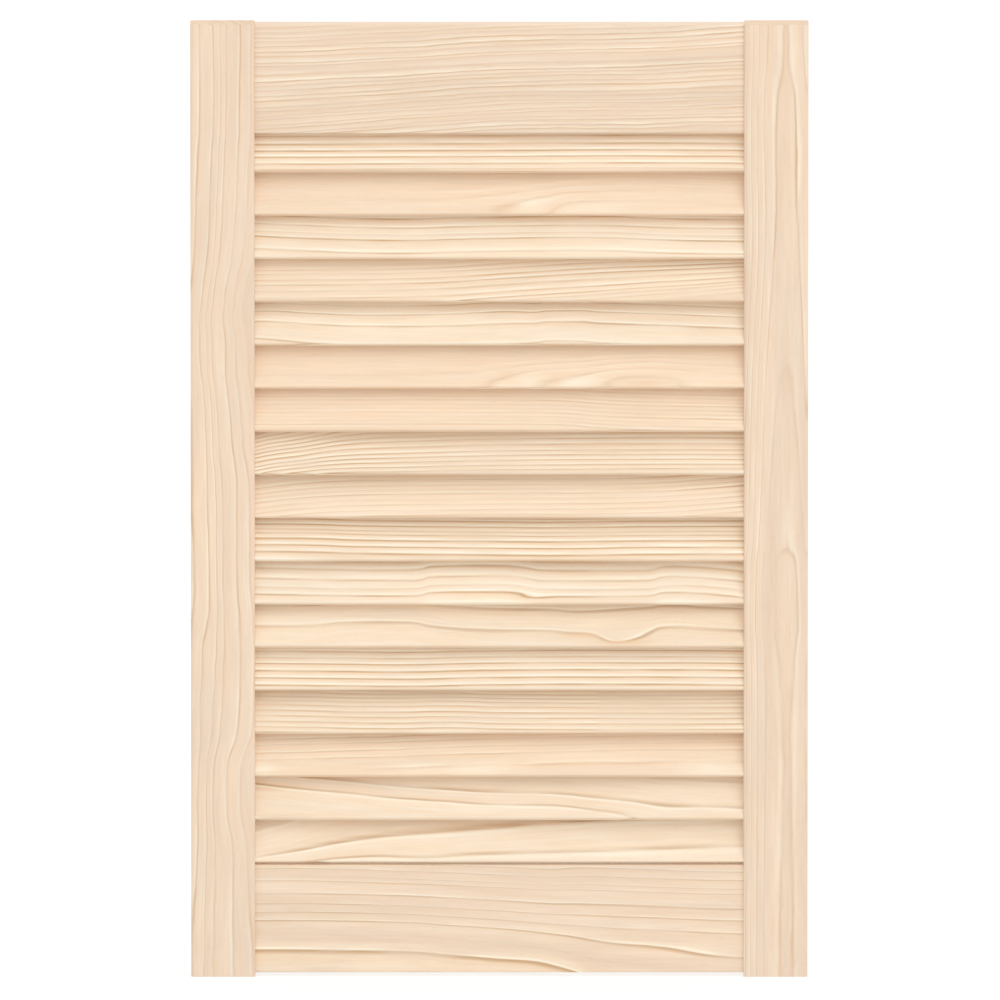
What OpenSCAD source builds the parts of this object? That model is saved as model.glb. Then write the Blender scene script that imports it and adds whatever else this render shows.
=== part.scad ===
/* [Door] */
// Height of the door, over the stiles
door_h = 615; // [380:1:1300]
// Width of the door, over the stiles
door_w = 394; // [240:1:700]

/* [Stiles] */
// Width of each stile
stile_w = 41; // [34:0.5:80]
// Thickness of the stiles, which is the thickness of the door
stile_t = 21; // [19:0.5:30]
// Radius that eases the long edges of the stiles
stile_edge_r = 2.5; // [0.5:0.1:4]

/* [Rails] */
// Height of the top rail
top_rail_h = 70; // [60:1:140]
// Height of the bottom rail
bottom_rail_h = 70; // [50:1:140]
// Thickness of the rails, set in the middle of the stiles
rail_t = 15; // [13:0.5:19]
// Radius that eases the long edges of the rails
rail_edge_r = 1; // [0.5:0.1:3]
// How far the stiles stand above the top rail
top_step = 0.4; // [0:0.1:5]
// How far the stiles stand below the bottom rail
foot_step = 2.2; // [0:0.1:5]

/* [Louvre] */
// Width of each slat
slat_w = 34; // [30:0.5:37]
// Thickness of each slat
slat_t = 6; // [4.5:0.5:7]
// Radius on the edges of each slat
slat_edge_r = 1; // [0.5:0.1:2.2]
// Lean of the slats from upright, with the lower edge towards the front
slat_angle = 22; // [18:0.5:28]
// Spacing wanted from slat to slat, from which the number of slats follows
wanted_pitch = 27.9; // [24:0.1:30]
// How far the top rail comes down below the line of one more slat's lip
top_lap = 2.3; // [0:0.1:5]
// Gap under the lip of the lowest slat
sill_gap = 0.4; // [0.2:0.1:2]

/* [Housings] */
// Depth of the slanted housings that hold the slat ends
housing_depth = 8; // [5:0.5:14]
// Clearance all round a slat in its housing
housing_fit = 0.15; // [0.05:0.05:0.4]
// Gap between the end of a slat and the end of its housing
slat_end_gap = 0.5; // [0.2:0.1:0.9]
// Clearance between the top slat and the rebate in the top rail
rebate_fit = 0.4; // [0.2:0.1:0.9]

/* [Dowels] */
// Diameter of the dowels
dowel_d = 8; // [6:0.5:10]
// Length of the dowels
dowel_l = 50; // [30:1:54]
// Chamfer on the ends of the dowels
dowel_chamfer = 1.2; // [0.5:0.1:2]
// Number of glue flutes round a dowel
flute_count = 16; // [8:1:24]
// Radius of a glue flute
flute_r = 0.45; // [0.2:0.05:0.6]
// Clearance round a dowel in its bore
dowel_fit = 0.1; // [0.05:0.05:0.3]
// Gap between the end of a dowel and the end of its bore
dowel_end_gap = 1; // [0.5:0.1:3]
// Distance from the edge of a rail's full section to its nearest dowel
dowel_edge = 13; // [10:0.5:16]

/* [Hidden] */
$fn = 64;

// How far a cut runs past the face that it opens
over = 1;

// The opening between the stiles and between the rails
opening_w = door_w - 2 * stile_w;
opening_low = foot_step + bottom_rail_h;
opening_high = door_h - top_step - top_rail_h;

// The lips share the opening evenly, from the gap over the bottom rail to one lap below the top rail
lip_run = opening_high + top_lap - opening_low - sill_gap;
slat_count = round(lip_run / wanted_pitch);
pitch = lip_run / slat_count;

// Half the height of a leaning slat, its rounded corners included
slat_half_h = (slat_w / 2 - slat_edge_r) * cos(slat_angle)
    + (slat_t / 2 - slat_edge_r) * sin(slat_angle) + slat_edge_r;
slat_len = opening_w + 2 * (housing_depth - slat_end_gap);

// Height of the middle of slat i, where slat 1 is the top one
function slat_z(i) = opening_low + sill_gap + (slat_count - i) * pitch + slat_half_h;

// Depth of the plane that lies a gap in front of slat 1, at height z
function before_top_slat(z, gap) =
    (z - slat_z(1)) * tan(slat_angle) - (slat_t / 2 + gap) / cos(slat_angle);

// The shoulder of the rebate clears the top slat, and the top rail has its full section above it
shoulder_z = max(slat_z(1) + slat_half_h + rebate_fit, opening_high);

// Heights of the dowels, by rail and by row
function dowel_z(rail, row) =
    rail == "top"
        ? (row == "upper" ? door_h - top_step - dowel_edge : shoulder_z + dowel_edge)
        : (row == "upper" ? opening_low - dowel_edge : foot_step + dowel_edge);

SIDES = [["left", -1], ["right", 1]];
DOWELS = [
    for (rail = ["top", "bottom"], side = SIDES, row = ["upper", "lower"])
        [str("dowel_", rail, "_", side[0], "_", row), side[1], dowel_z(rail, row)]
];

function slat_name(i) = str("slat_", i < 10 ? "0" : "", i);

STILE_COLOUR = "#EFD7BE";
RAIL_COLOUR = "#EED6BE";
SLAT_COLOUR = "#F9E1C5";
DOWEL_COLOUR = "#D8B58A";

// A section with all four corners rounded
module eased_section(w, h, r) {
    square([w, h - 2 * r], center = true);
    square([w - 2 * r, h], center = true);
    for (x = [-1, 1], y = [-1, 1])
        translate([x * (w / 2 - r), y * (h / 2 - r)])
            circle(r);
}

// A section drawn as depth and height, carried across the door
module across(length) {
    rotate([90, 0, 90])
        linear_extrude(height = length, center = true)
            children();
}

// The leaning section of slat i, grown by a clearance where it is a housing
module slat_section(i, grow = 0) {
    translate([0, slat_z(i)])
        rotate(-slat_angle)
            eased_section(slat_t + 2 * grow, slat_w + 2 * grow, slat_edge_r + grow);
}

// A stopped housing for the end of slat i in the stile on one side
module housing(i, side) {
    length = housing_depth + over;
    translate([side * (opening_w / 2 - over + length / 2), 0, 0])
        across(length)
            slat_section(i, housing_fit);
}

// Both halves of a dowel's bore, in the stile and in the end of the rail
module dowel_bore(dowel) {
    translate([dowel[1] * opening_w / 2, 0, dowel[2]])
        rotate([0, 90, 0])
            cylinder(r = dowel_d / 2 + dowel_fit, h = dowel_l + 2 * dowel_end_gap, center = true);
}

// The slanted rebate along the lower back edge of the top rail, for the top slat's upper edge
module rebate_section() {
    low = opening_high - over;
    polygon([
        [before_top_slat(low, rebate_fit), low],
        [before_top_slat(shoulder_z, rebate_fit), shoulder_z],
        [rail_t, shoulder_z],
        [rail_t, low]
    ]);
}

module stile(side) {
    color(STILE_COLOUR)
        difference() {
            translate([side * (door_w - stile_w) / 2, 0, 0])
                linear_extrude(height = door_h)
                    eased_section(stile_w, stile_t, stile_edge_r);
            for (i = [1 : slat_count])
                housing(i, side);
            for (d = DOWELS)
                if (d[1] == side)
                    dowel_bore(d);
        }
}

module rail_blank(low, height) {
    across(opening_w)
        translate([0, low + height / 2])
            eased_section(rail_t, height, rail_edge_r);
}

module top_rail() {
    color(RAIL_COLOUR)
        difference() {
            rail_blank(opening_high, top_rail_h);
            across(opening_w + 2 * over)
                rebate_section();
            for (d = DOWELS)
                if (d[2] > opening_high)
                    dowel_bore(d);
        }
}

module bottom_rail() {
    color(RAIL_COLOUR)
        difference() {
            rail_blank(foot_step, bottom_rail_h);
            for (d = DOWELS)
                if (d[2] < opening_low)
                    dowel_bore(d);
        }
}

module slat(i) {
    color(SLAT_COLOUR)
        across(slat_len)
            slat_section(i);
}

// A fluted dowel with chamfered ends, laid across the joint
module dowel(d) {
    color(DOWEL_COLOUR)
        translate([d[1] * opening_w / 2, 0, d[2]])
            rotate([0, 90, 0])
                intersection() {
                    linear_extrude(height = dowel_l, center = true)
                        difference() {
                            circle(dowel_d / 2);
                            for (k = [1 : flute_count])
                                rotate(360 * k / flute_count)
                                    translate([dowel_d / 2, 0])
                                        circle(flute_r);
                        }
                    rotate_extrude()
                        dowel_outline();
                }
}

// Half the long outline of a dowel, chamfered at both ends
module dowel_outline() {
    r = dowel_d / 2;
    polygon([
        [0, -dowel_l / 2],
        [r - dowel_chamfer, -dowel_l / 2],
        [r, dowel_chamfer - dowel_l / 2],
        [r, dowel_l / 2 - dowel_chamfer],
        [r - dowel_chamfer, dowel_l / 2],
        [0, dowel_l / 2]
    ]);
}

stile(-1);  // stile_left
stile(1);  // stile_right
top_rail();
bottom_rail();
for (i = [1 : slat_count])
    slat(i);
for (d = DOWELS)
    dowel(d);
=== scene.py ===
# %% [markdown]
# A louvred cabinet door in bare pine
#
# The door is two uprights called stiles, two rails between them and seventeen slanted slats. All of
# it is bare planed pine, so the whole look is in three things: the eased edges of the boards, the
# growth rings that differ from board to board, and the shade under each slat. This script keeps the
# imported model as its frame, builds each rail and slat again as one smooth surface worked out with
# numpy, and gives every board its own piece of the same solid wood.

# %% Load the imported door
import math

import bpy
import numpy as np
from mathutils import Euler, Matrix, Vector


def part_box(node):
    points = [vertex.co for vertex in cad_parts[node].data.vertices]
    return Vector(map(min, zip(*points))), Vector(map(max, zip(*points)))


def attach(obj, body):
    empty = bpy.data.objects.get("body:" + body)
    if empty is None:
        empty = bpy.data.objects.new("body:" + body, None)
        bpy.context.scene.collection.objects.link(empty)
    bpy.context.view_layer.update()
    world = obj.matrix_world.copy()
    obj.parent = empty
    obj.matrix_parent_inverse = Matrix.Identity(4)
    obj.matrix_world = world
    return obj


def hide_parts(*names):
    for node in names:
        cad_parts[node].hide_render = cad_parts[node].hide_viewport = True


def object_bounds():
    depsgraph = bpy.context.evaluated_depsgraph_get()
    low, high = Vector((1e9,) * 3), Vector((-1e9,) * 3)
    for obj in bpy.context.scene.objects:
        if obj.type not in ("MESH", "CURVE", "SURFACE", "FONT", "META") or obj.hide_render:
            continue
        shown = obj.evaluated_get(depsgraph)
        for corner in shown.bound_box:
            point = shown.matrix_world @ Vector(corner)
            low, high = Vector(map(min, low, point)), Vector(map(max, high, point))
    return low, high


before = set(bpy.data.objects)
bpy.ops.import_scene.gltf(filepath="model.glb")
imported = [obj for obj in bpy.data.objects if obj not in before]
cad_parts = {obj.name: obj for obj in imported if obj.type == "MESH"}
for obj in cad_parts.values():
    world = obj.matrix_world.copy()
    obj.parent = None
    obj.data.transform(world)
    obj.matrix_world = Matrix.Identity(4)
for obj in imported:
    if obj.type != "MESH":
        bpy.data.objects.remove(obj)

packed_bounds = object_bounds()
door_low, door_high = packed_bounds
door_size = door_high - door_low
print("nodes:", len(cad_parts))
print("door in millimetres:", [round(1000 * side, 1) for side in door_size])

# %% [markdown]
# The camera
#
# The photograph is a catalogue front view. Both stiles stay parallel, and a thin light strip along
# the top shows that the camera looks down a little. A long lens far away does both: its rays are
# nearly parallel, so nothing converges. The picture is 1000 pixels wide, and the door's outer edges
# in it give the width of the view.

# %% Set up the camera
PICTURE_PIXELS = 1000
STILE_LEFT_EDGE_PX = 193.0
STILE_RIGHT_EDGE_PX = 805.7
FRONT_TOP_EDGE_PX = 22.3
FRONT_FOOT_EDGE_PX = 981.3
CAMERA_ELEVATION = math.radians(9)
CAMERA_DISTANCE = 24.0
CAMERA_REACH = 100

door_width_px = STILE_RIGHT_EDGE_PX - STILE_LEFT_EDGE_PX
door_height_px = FRONT_FOOT_EDGE_PX - FRONT_TOP_EDGE_PX
pixels_per_metre_across = door_width_px / door_size.x
pixels_per_metre_up = door_height_px / (door_size.z * math.cos(CAMERA_ELEVATION))
pixels_per_metre = (pixels_per_metre_across + pixels_per_metre_up) / 2
view_width = PICTURE_PIXELS / pixels_per_metre

look_back = Vector((0, -math.cos(CAMERA_ELEVATION), math.sin(CAMERA_ELEVATION)))
picture_right = Vector((1, 0, 0))
picture_up = picture_right.cross(-look_back)
front_middle = Vector((0, door_low.y, (door_low.z + door_high.z) / 2))
door_middle_px = (STILE_LEFT_EDGE_PX + STILE_RIGHT_EDGE_PX) / 2
front_middle_px = (FRONT_TOP_EDGE_PX + FRONT_FOOT_EDGE_PX) / 2
aim = (
    front_middle
    + picture_right * (PICTURE_PIXELS / 2 - door_middle_px) / pixels_per_metre
    + picture_up * (front_middle_px - PICTURE_PIXELS / 2) / pixels_per_metre
)

camera_data = bpy.data.cameras.new("front_camera")
camera_data.lens = camera_data.sensor_width * CAMERA_DISTANCE / view_width
camera_data.clip_end = CAMERA_REACH
camera = bpy.data.objects.new("front_camera", camera_data)
camera.location = aim + look_back * CAMERA_DISTANCE
camera.rotation_euler = look_back.to_track_quat("Z", "Y").to_euler()
bpy.context.scene.collection.objects.link(camera)
bpy.context.scene.camera = camera
print("lens in millimetres:", round(camera_data.lens), "view in metres:", round(view_width, 3))

# %% [markdown]
# Small helpers for shaders
#
# Every material here is worked out from formulas, so it is a tree of small nodes. These helpers
# keep such a tree readable: one call adds one node and hands back its result. The Mix node holds
# sockets for numbers, vectors and colours, so its colours are found by their place.

# %% Make the helpers that add one node
MIX_FIRST_COLOUR = 6
MIX_SECOND_COLOUR = 7
MIX_COLOUR_RESULT = 2


def feed(tree, target, source):
    """Link a result to an input, or set the input to a plain value."""
    if isinstance(source, bpy.types.NodeSocket):
        tree.links.new(source, target)
    else:
        target.default_value = source


def add_math(tree, operation, *terms):
    """One Math node over sockets or plain numbers."""
    node = tree.nodes.new("ShaderNodeMath")
    node.operation = operation
    for target, term in zip(node.inputs, terms):
        feed(tree, target, term)
    return node.outputs[0]


def add_range(tree, source, from_low, from_high, to_low, to_high):
    """A value moved from one range to another and kept inside it."""
    node = tree.nodes.new("ShaderNodeMapRange")
    for target, term in zip(node.inputs, (source, from_low, from_high, to_low, to_high)):
        feed(tree, target, term)
    return node.outputs[0]


def add_vector(tree, operation, *terms, scale=None):
    """One Vector Math node over sockets or plain vectors."""
    node = tree.nodes.new("ShaderNodeVectorMath")
    node.operation = operation
    for target, term in zip(node.inputs, terms):
        feed(tree, target, term)
    if scale is not None:
        feed(tree, node.inputs["Scale"], scale)
    return node.outputs[0]


def add_noise(tree, point, sizes, shift=(0, 0, 0), detail=0.0):
    """Noise of 0 to 1 whose features have the given sizes along the point's three axes."""
    noise = tree.nodes.new("ShaderNodeTexNoise")
    noise.inputs["Scale"].default_value = 1
    noise.inputs["Detail"].default_value = detail
    fineness = tuple(1 / size for size in sizes)
    feed(tree, noise.inputs["Vector"], add_vector(tree, "MULTIPLY_ADD", point, fineness, shift))
    return noise.outputs[0]


def add_mix(tree, factor, first, second, blend="MIX"):
    """Two colours mixed by a factor."""
    node = tree.nodes.new("ShaderNodeMix")
    node.data_type = "RGBA"
    node.blend_type = blend
    feed(tree, node.inputs[0], factor)
    feed(tree, node.inputs[MIX_FIRST_COLOUR], first)
    feed(tree, node.inputs[MIX_SECOND_COLOUR], second)
    return node.outputs[MIX_COLOUR_RESULT]


print("helpers that add one node are ready")

# %% [markdown]
# Groups of nodes
#
# What all boards share is built once as a group, with named inputs and outputs, and placed in each
# board's material with that board's own values.

# %% Make the helpers for groups
FLOAT = "NodeSocketFloat"
VECTOR = "NodeSocketVector"
COLOUR = "NodeSocketColor"


def new_group(name, inputs, outputs):
    """An empty shader group; gives back its tree, its given values and its results, by name."""
    tree = bpy.data.node_groups.new(name, "ShaderNodeTree")
    for socket_name, kind, value in inputs:
        socket = tree.interface.new_socket(socket_name, in_out="INPUT", socket_type=kind)
        if value is not None:
            socket.default_value = value
    for socket_name, kind in outputs:
        tree.interface.new_socket(socket_name, in_out="OUTPUT", socket_type=kind)
    given = tree.nodes.new("NodeGroupInput").outputs
    result = tree.nodes.new("NodeGroupOutput").inputs
    return tree, given, result


def add_group(tree, group, **values):
    """A group placed in a tree; a value's name is its input's name with underscores for spaces."""
    node = tree.nodes.new("ShaderNodeGroup")
    node.node_tree = group
    for name, value in values.items():
        feed(tree, node.inputs[name.replace("_", " ")], value)
    return node.outputs


print("kinds of value in a group:", FLOAT, VECTOR, COLOUR)

# %% [markdown]
# The studio
#
# A product photograph on white has light from nearly everywhere, and only a little more from one
# side. Here the sky gives the even light: brighter from above, and a bit weaker from below, as a
# white table gives it back. One large soft lamp stands to the upper right, because the photograph
# shades the left outer edge, the faces that look left and the wedge under each slat. The floor is
# white card. It is hidden from the light that bounces between the boards, since the lower half of
# the sky already stands for it.

# %% Lay the floor
FLOOR_HALF = 60.0
FLOOR_DROP = 0.0002
WHITE = (1, 1, 1, 1)
CARD_GREY = (0.30, 0.30, 0.30, 1)
CARD_GLOW = 0.70
CARD_ROUGHNESS = 0.9
CARD_SHEEN_LEVEL = 0.2


def floor_material():
    """Card with some light of its own, so that it stays white in the picture."""
    material = bpy.data.materials.new("white_floor")
    material.use_nodes = True
    shader = material.node_tree.nodes["Principled BSDF"]
    shader.inputs["Base Color"].default_value = CARD_GREY
    shader.inputs["Roughness"].default_value = CARD_ROUGHNESS
    shader.inputs["Specular IOR Level"].default_value = CARD_SHEEN_LEVEL
    shader.inputs["Emission Color"].default_value = WHITE
    shader.inputs["Emission Strength"].default_value = CARD_GLOW
    return material


def floor_sheet():
    """A flat square of floor just under the feet of the stiles."""
    side = np.array([-FLOOR_HALF, FLOOR_HALF])
    x, y = np.meshgrid(side, side)
    corners = np.stack([x, y, np.full_like(x, door_low.z - FLOOR_DROP)], axis=-1)
    mesh = bpy.data.meshes.new("floor")
    mesh.from_pydata(corners.reshape(-1, 3).tolist(), [], [(0, 1, 3, 2)])
    mesh.materials.append(floor_material())
    floor = bpy.data.objects.new("floor", mesh)
    floor.visible_diffuse = False
    bpy.context.scene.collection.objects.link(floor)
    return floor


floor = floor_sheet()
print("floor:", floor.name, "of", 2 * FLOOR_HALF, "metres each way")

# %% Light the door
def studio_sky(above, below, blend):
    """Even white light that changes softly from below the horizon to above it."""
    world = bpy.data.worlds.new("studio_sky")
    world.use_nodes = True
    tree = world.node_tree
    direction = tree.nodes.new("ShaderNodeTexCoord")
    axes = tree.nodes.new("ShaderNodeSeparateXYZ")
    tree.links.new(direction.outputs["Generated"], axes.inputs[0])
    strength = add_range(tree, axes.outputs[2], -blend, blend, below, above)
    background = tree.nodes["Background"]
    background.inputs["Color"].default_value = WHITE
    tree.links.new(strength, background.inputs["Strength"])
    bpy.context.scene.world = world


def softbox(name, side, power, azimuth, elevation, distance):
    """A square lamp that faces the middle of the door from an azimuth right of the front."""
    lamp = bpy.data.lights.new(name, "AREA")
    lamp.size = side
    lamp.energy = power
    turned = math.radians(azimuth)
    raised = math.radians(elevation)
    outward = Vector((
        math.sin(turned) * math.cos(raised),
        -math.cos(turned) * math.cos(raised),
        math.sin(raised),
    ))
    holder = bpy.data.objects.new(name, lamp)
    holder.location = front_middle + outward * distance
    holder.rotation_euler = outward.to_track_quat("Z", "Y").to_euler()
    holder.visible_camera = False
    bpy.context.scene.collection.objects.link(holder)
    return holder


studio_sky(above=1.03, below=0.94, blend=0.1)
softbox("key_light", side=3.0, power=69, azimuth=35, elevation=43, distance=6.0)
bpy.context.scene.view_settings.view_transform = "Standard"

# %% [markdown]
# How pine is made, and how its look is worked out
#
# A board is cut from a trunk of yearly rings. In spring the tree grows wide, pale wood. In late
# summer the wood gets denser and darker, and winter stops it at once. So across a board each ring
# goes from cream slowly to warm, ends in a thin brown line, and starts again with the palest cream.
# The shader follows that order. It first works out where a point lies among the rings, as a place
# in millimetres across the board, and the colour comes from the fraction of the ring there.
#
# The place has simple causes. Rings run along the board, and rise or fall where the trunk did. They
# open like a fan near a knot. Where the board was cut near the outside of a ring, the place changes
# with the square of the distance from a centre line, which draws the arches that a flat cut shows.
# The rings also lean through the thickness, so the edges and the back of a board carry on the
# pattern of its face, as solid wood does. Slow and quick noise lets the lines wander a little, and
# a swirl pushes them aside in one place.

# %% Build the group that says where a point lies among the rings
SEED_STEP = (13.7, 7.3, 29.1)
SLOW_WAVE_MM = (60, 15, 9)
QUICK_WAVE_MM = (12, 5, 3)
QUICK_SHARE = 0.4
NOISE_MIDDLE = 0.5


def make_grain_run():
    """Place of a point among the rings, and across the fibres, in millimetres.

    place = straight * across * (1 + fan) + arch * (across - centre)^2
            + lean * depth - rise + wander * noise
    fibre place = across * (1 + fan) - straight * rise
    """
    tree, given, result = new_group("grain_run", [
        ("Point", VECTOR, None),
        ("Rise", FLOAT, 0),
        ("Fan", FLOAT, 0),
        ("Straight", FLOAT, 1),
        ("Arch", FLOAT, 0),
        ("Arch Centre", FLOAT, 0),
        ("Lean", FLOAT, 0.5),
        ("Wander", FLOAT, 0.3),
        ("Seed", FLOAT, 0),
    ], [("Place", FLOAT), ("Fibre Place", FLOAT)])
    axes = tree.nodes.new("ShaderNodeSeparateXYZ")
    tree.links.new(given["Point"], axes.inputs[0])
    depth, across = axes.outputs[1], axes.outputs[2]
    fanned = add_math(tree, "MULTIPLY_ADD", across, given["Fan"], across)
    straight = add_math(tree, "MULTIPLY", fanned, given["Straight"])
    off_centre = add_math(tree, "SUBTRACT", across, given["Arch Centre"])
    squared = add_math(tree, "MULTIPLY", off_centre, off_centre)
    arched = add_math(tree, "MULTIPLY_ADD", squared, given["Arch"], straight)
    leaned = add_math(tree, "MULTIPLY_ADD", depth, given["Lean"], arched)
    risen = add_math(tree, "SUBTRACT", leaned, given["Rise"])
    shift = add_vector(tree, "SCALE", SEED_STEP, scale=given["Seed"])
    slow = add_noise(tree, given["Point"], SLOW_WAVE_MM, shift)
    quick = add_noise(tree, given["Point"], QUICK_WAVE_MM, shift)
    slow_step = add_math(tree, "SUBTRACT", slow, NOISE_MIDDLE)
    quick_step = add_math(tree, "SUBTRACT", quick, NOISE_MIDDLE)
    stray = add_math(tree, "MULTIPLY_ADD", quick_step, QUICK_SHARE, slow_step)
    doubled = add_math(tree, "MULTIPLY", stray, 2)
    place = add_math(tree, "MULTIPLY_ADD", doubled, given["Wander"], risen)
    fibre_rise = add_math(tree, "MULTIPLY", given["Rise"], given["Straight"])
    feed(tree, result["Place"], place)
    feed(tree, result["Fibre Place"], add_math(tree, "SUBTRACT", fanned, fibre_rise))
    return tree


grain_run = make_grain_run()
print("group:", grain_run.name, "with", len(grain_run.nodes), "nodes")

# %% Build the group for one soft hill
def make_grain_swirl():
    """A local push on the place, as by a knot near by: height * exp(-u^2 - v^2)."""
    tree, given, result = new_group("grain_swirl", [
        ("Point", VECTOR, None),
        ("Centre Along", FLOAT, 0),
        ("Centre Across", FLOAT, 0),
        ("Reach Along", FLOAT, 10),
        ("Reach Across", FLOAT, 6),
        ("Height", FLOAT, 0),
    ], [("Push", FLOAT)])
    axes = tree.nodes.new("ShaderNodeSeparateXYZ")
    tree.links.new(given["Point"], axes.inputs[0])
    u_from = add_math(tree, "SUBTRACT", axes.outputs[0], given["Centre Along"])
    v_from = add_math(tree, "SUBTRACT", axes.outputs[2], given["Centre Across"])
    u = add_math(tree, "DIVIDE", u_from, given["Reach Along"])
    v = add_math(tree, "DIVIDE", v_from, given["Reach Across"])
    u_squared = add_math(tree, "MULTIPLY", u, u)
    both = add_math(tree, "MULTIPLY_ADD", v, v, u_squared)
    fallen = add_math(tree, "EXPONENT", add_math(tree, "MULTIPLY", both, -1))
    feed(tree, result["Push"], add_math(tree, "MULTIPLY", fallen, given["Height"]))
    return tree


grain_swirl = make_grain_swirl()
print("group:", grain_swirl.name, "with", len(grain_swirl.nodes), "nodes")

# %% [markdown]
# The colour over one ring
#
# The ramp below is one year of growth: the last trace of the line before it, the cream of spring and
# the brown of late summer. A board can have wide or narrow parts of each, and a weak ring keeps
# close to the plain colour of the board, so each ring has a darkness of its own. On top of the rings
# there are fine fibres, streaks a bit cooler or warmer, short flecks where a plane opened a resin
# canal, and a slow drift of tone. The planed fibres stand a hundredth of a millimetre proud and the
# opened canals lie a bit deeper, which the height says. End grain drinks light, so it is darker.

# %% Make the ramp of one year
RING_YEAR = [
    (0.00, (0.720, 0.535, 0.360)),
    (0.09, (0.930, 0.835, 0.665)),
    (0.17, (0.940, 0.845, 0.675)),
    (0.30, (0.885, 0.720, 0.545)),
    (0.75, (0.850, 0.660, 0.475)),
    (0.83, (0.740, 0.530, 0.340)),
    (0.92, (0.590, 0.390, 0.225)),
    (1.00, (0.560, 0.365, 0.205)),
]
EARLY_END = 0.3
LATE_START = 0.75


def add_ramp(tree, source, stops):
    """A colour ramp through stops of place and colour."""
    node = tree.nodes.new("ShaderNodeValToRGB")
    elements = node.color_ramp.elements
    elements[0].position, elements[0].color = stops[0][0], (*stops[0][1], 1)
    elements[1].position, elements[1].color = stops[-1][0], (*stops[-1][1], 1)
    for place, colour in stops[1:-1]:
        elements.new(place).color = (*colour, 1)
    feed(tree, node.inputs[0], source)
    return node.outputs[0]


print("stops over one ring:", len(RING_YEAR))

# %% Build the group that colours the rings
LATE_WIDTH_SWING = (0.75, 1.15)
DARKNESS_SWING = (0.5, 1.25)
DARKNESS_WAVE_MM = (40, 30, 4)
COOL_TINT = (1.000, 1.020, 1.050, 1)
WARM_TINT = (0.995, 0.965, 0.925, 1)
STREAK_MM = (70, 9, 2.4)
STREAK_NOISE = (0.25, 0.75)
DRIFT_MM = (150, 30, 11)
FIBRE_MM = (20, 1.6, 1.3)
FIBRE_HEIGHT_MM = 0.012
TONE_SWING = (0.965, 1.035)
FLECK_MM = (5, 0.5, 0.45)
FLECK_FROM = (0.70, 0.80)
FLECK_DEPTH_MM = 0.02
FLECK_TONE = 0.95
PORE_MM = (3, 0.35, 0.35)
PORE_SWING = (0.86, 1.02)
END_TINT = (0.98, 0.95, 0.91, 1)
PLANED_ROUGHNESS = (0.54, 0.64)
LATE_ROUGHNESS = -0.08
SAWN_ROUGHNESS = 0.2
MOST_NOISE = (0.2, 0.8)
CORE_NOISE = (0.3, 0.7)


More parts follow.
